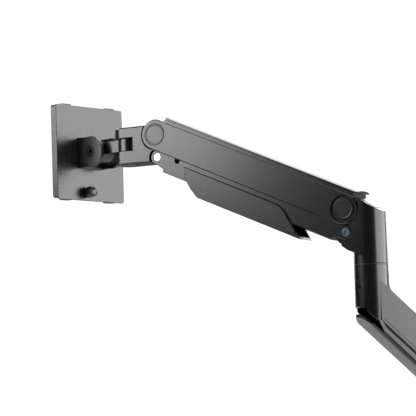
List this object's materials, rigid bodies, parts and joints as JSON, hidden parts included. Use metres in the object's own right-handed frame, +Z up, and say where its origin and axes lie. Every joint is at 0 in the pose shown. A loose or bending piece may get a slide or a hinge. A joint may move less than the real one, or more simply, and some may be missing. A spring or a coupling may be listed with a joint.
{
  "type": "monitor arm",
  "caption": "Desk-clamp monitor arm with a slanted lower arm, a gas-spring parallel upper arm, a swivel and tilt head and a quick-release monitor plate.",
  "frame": {"origin": "on the desk surface under the base pad, on the base swivel axis", "axes": "+Z up; -X towards the user the monitor faces; the clamp is on the +X side"},
  "size_m": [0.5745, 0.218, 0.616],
  "materials": {
    "coated_aluminium": "satin",
    "coated_steel": "satin",
    "black_plastic": "matte",
    "cover_plastic": "matte",
    "cap_plastic": "satin",
    "bearing_plastic": "satin",
    "black_rubber": "matte",
    "bright_steel": "polished",
    "zinc_steel": "satin",
    "spring_enamel": "gloss"
  },
  "bodies": {
    "base": {"desk_pad": "black_rubber", "base_plate": "coated_aluminium", "clamp_bracket": "coated_steel", "clamp_bolt_left": "zinc_steel", "clamp_bolt_right": "zinc_steel", "base_post": "zinc_steel", "base_washer": "bearing_plastic", "retaining_washer": "zinc_steel", "retaining_screw": "zinc_steel"},
    "clamp_foot": {"pressure_disc": "coated_steel", "disc_pad": "black_rubber"},
    "clamp_spindle": {"clamp_screw": "zinc_steel", "clamp_knob": "black_plastic"},
    "lower_arm": {"lower_arm_casting": "coated_aluminium", "base_bush": "bearing_plastic", "base_boss_cap": "cap_plastic", "elbow_bush": "bearing_plastic", "boss_set_screw": "zinc_steel", "elbow_washer": "bearing_plastic"},
    "lower_cover": {"lower_cable_cover": "cover_plastic"},
    "elbow": {"elbow_bracket": "coated_aluminium", "elbow_spindle": "zinc_steel", "elbow_top_cap": "cap_plastic", "link_rear_pin": "bright_steel", "spring_rear_pin": "zinc_steel"},
    "arm": {"arm_shell": "coated_aluminium", "arm_top_cover": "cover_plastic", "spring_front_pin": "zinc_steel", "rear_pivot_shaft": "zinc_steel", "front_pivot_shaft": "zinc_steel", "rear_pivot_washer_left": "bearing_plastic", "rear_pivot_washer_right": "bearing_plastic", "front_pivot_washer_left": "bearing_plastic", "front_pivot_washer_right": "bearing_plastic", "rear_pivot_cap_left": "cap_plastic", "rear_pivot_cap_right": "cap_plastic", "front_pivot_cap_left": "cap_plastic", "front_pivot_cap_right": "cap_plastic", "gas_spring_tube": "spring_enamel"},
    "spring_rod": {"gas_spring_rod": "bright_steel"},
    "link": {"parallel_link": "coated_aluminium"},
    "link_cover": {"link_cable_cover": "cover_plastic"},
    "head": {"head_fork": "coated_aluminium", "front_link_pin": "bright_steel", "swivel_bolt": "zinc_steel", "swivel_nut": "zinc_steel", "swivel_washer_top": "bearing_plastic", "swivel_washer_bottom": "bearing_plastic"},
    "knuckle": {"head_knuckle": "coated_aluminium", "tilt_washer_left": "bearing_plastic", "tilt_washer_right": "bearing_plastic"},
    "tilt": {"tilt_bracket": "coated_steel", "tilt_bolt": "zinc_steel", "tilt_nut": "zinc_steel", "rotation_hub": "zinc_steel"},
    "plate": {"quick_release_plate": "coated_steel"},
    "lock_bolt": {"lock_screw": "bright_steel"},
    "lock_grip": {"lock_knob": "black_plastic"},
    "monitor_side": {"monitor_plate": "coated_steel"}
  },
  "joints": [
    {"name": "clamp_travel", "type": "slide", "parent": "base", "child": "clamp_foot", "axis": [0, 0, 1], "range_m": [-0.068, 0.026]},
    {"name": "clamp_screw_turn", "type": "hinge", "parent": "clamp_foot", "child": "clamp_spindle", "pos_m": [0, 0, -0.1], "axis": [0, 0, 1], "range_deg": [-12400, 4750]},
    {"name": "base_swivel", "type": "hinge", "parent": "base", "child": "lower_arm", "pos_m": [0, 0, 0.02], "axis": [0, 0, 1], "range_deg": [-136.6, 43.4]},
    {"name": "lower_cover_release", "type": "slide", "parent": "lower_arm", "child": "lower_cover", "axis": [-0.4615, -0.4881, -0.7408], "range_m": [0, 0.022]},
    {"name": "elbow_swivel", "type": "hinge", "parent": "lower_arm", "child": "elbow", "pos_m": [-0.12024, -0.12715, 0.23422], "axis": [0, 0, 1], "range_deg": [-43.4, 136.6]},
    {"name": "arm_lift", "type": "hinge", "parent": "elbow", "child": "arm", "pos_m": [-0.14424, -0.12715, 0.29722], "axis": [0, 1, 0], "range_deg": [-50, 10]},
    {"name": "link_lift", "type": "hinge", "parent": "elbow", "child": "link", "pos_m": [-0.14324, -0.12715, 0.27042], "axis": [0, 1, 0], "range_deg": [-50.1, 10.1]},
    {"name": "head_level", "type": "hinge", "parent": "arm", "child": "head", "pos_m": [-0.38414, -0.12715, 0.40253], "axis": [0, 1, 0], "range_deg": [-10.1, 50.1]},
    {"name": "spring_stroke", "type": "slide", "parent": "arm", "child": "spring_rod", "axis": [0.8925, 0, -0.4511], "range_m": [-0.02, 0.006]},
    {"name": "link_cover_release", "type": "slide", "parent": "link", "child": "link_cover", "axis": [-0.4019, 0, -0.9157], "range_m": [0, 0.03]},
    {"name": "head_swivel", "type": "hinge", "parent": "head", "child": "knuckle", "pos_m": [-0.42864, -0.12715, 0.39423], "axis": [0, 0, 1], "range_deg": [-77, 103]},
    {"name": "head_tilt", "type": "hinge", "parent": "knuckle", "child": "tilt", "pos_m": [-0.47347, -0.1168, 0.39123], "axis": [0.225, 0.9744, 0], "range_deg": [-40, 70]},
    {"name": "plate_rotate", "type": "hinge", "parent": "tilt", "child": "plate", "pos_m": [-0.49198, -0.11253, 0.39123], "axis": [-0.9744, 0.225, 0], "range_deg": [-90, 90]},
    {"name": "lock_release", "type": "slide", "parent": "plate", "child": "lock_bolt", "axis": [0.9744, -0.225, 0], "range_m": [0, 0.012]},
    {"name": "lock_turn", "type": "hinge", "parent": "lock_bolt", "child": "lock_grip", "pos_m": [-0.48501, -0.12235, 0.34423], "axis": [0.9744, -0.225, 0], "range_deg": [-10, 4400]},
    {"name": "monitor_lift_off", "type": "slide", "parent": "plate", "child": "monitor_side", "axis": [0, 0, 1], "range_m": [0, 0.02]}
  ],
  "couplings": [
    {"joint": "clamp_screw_turn", "follows": "clamp_travel", "rad_per_m": 3141.6},
    {"joint": "link_lift", "follows": "arm_lift", "ratio": 1},
    {"joint": "head_level", "follows": "arm_lift", "ratio": -1},
    {"joint": "spring_stroke", "follows": "arm_lift", "m_per_rad": 0.01366},
    {"joint": "lock_turn", "follows": "lock_release", "rad_per_m": 6283.2}
  ]
}
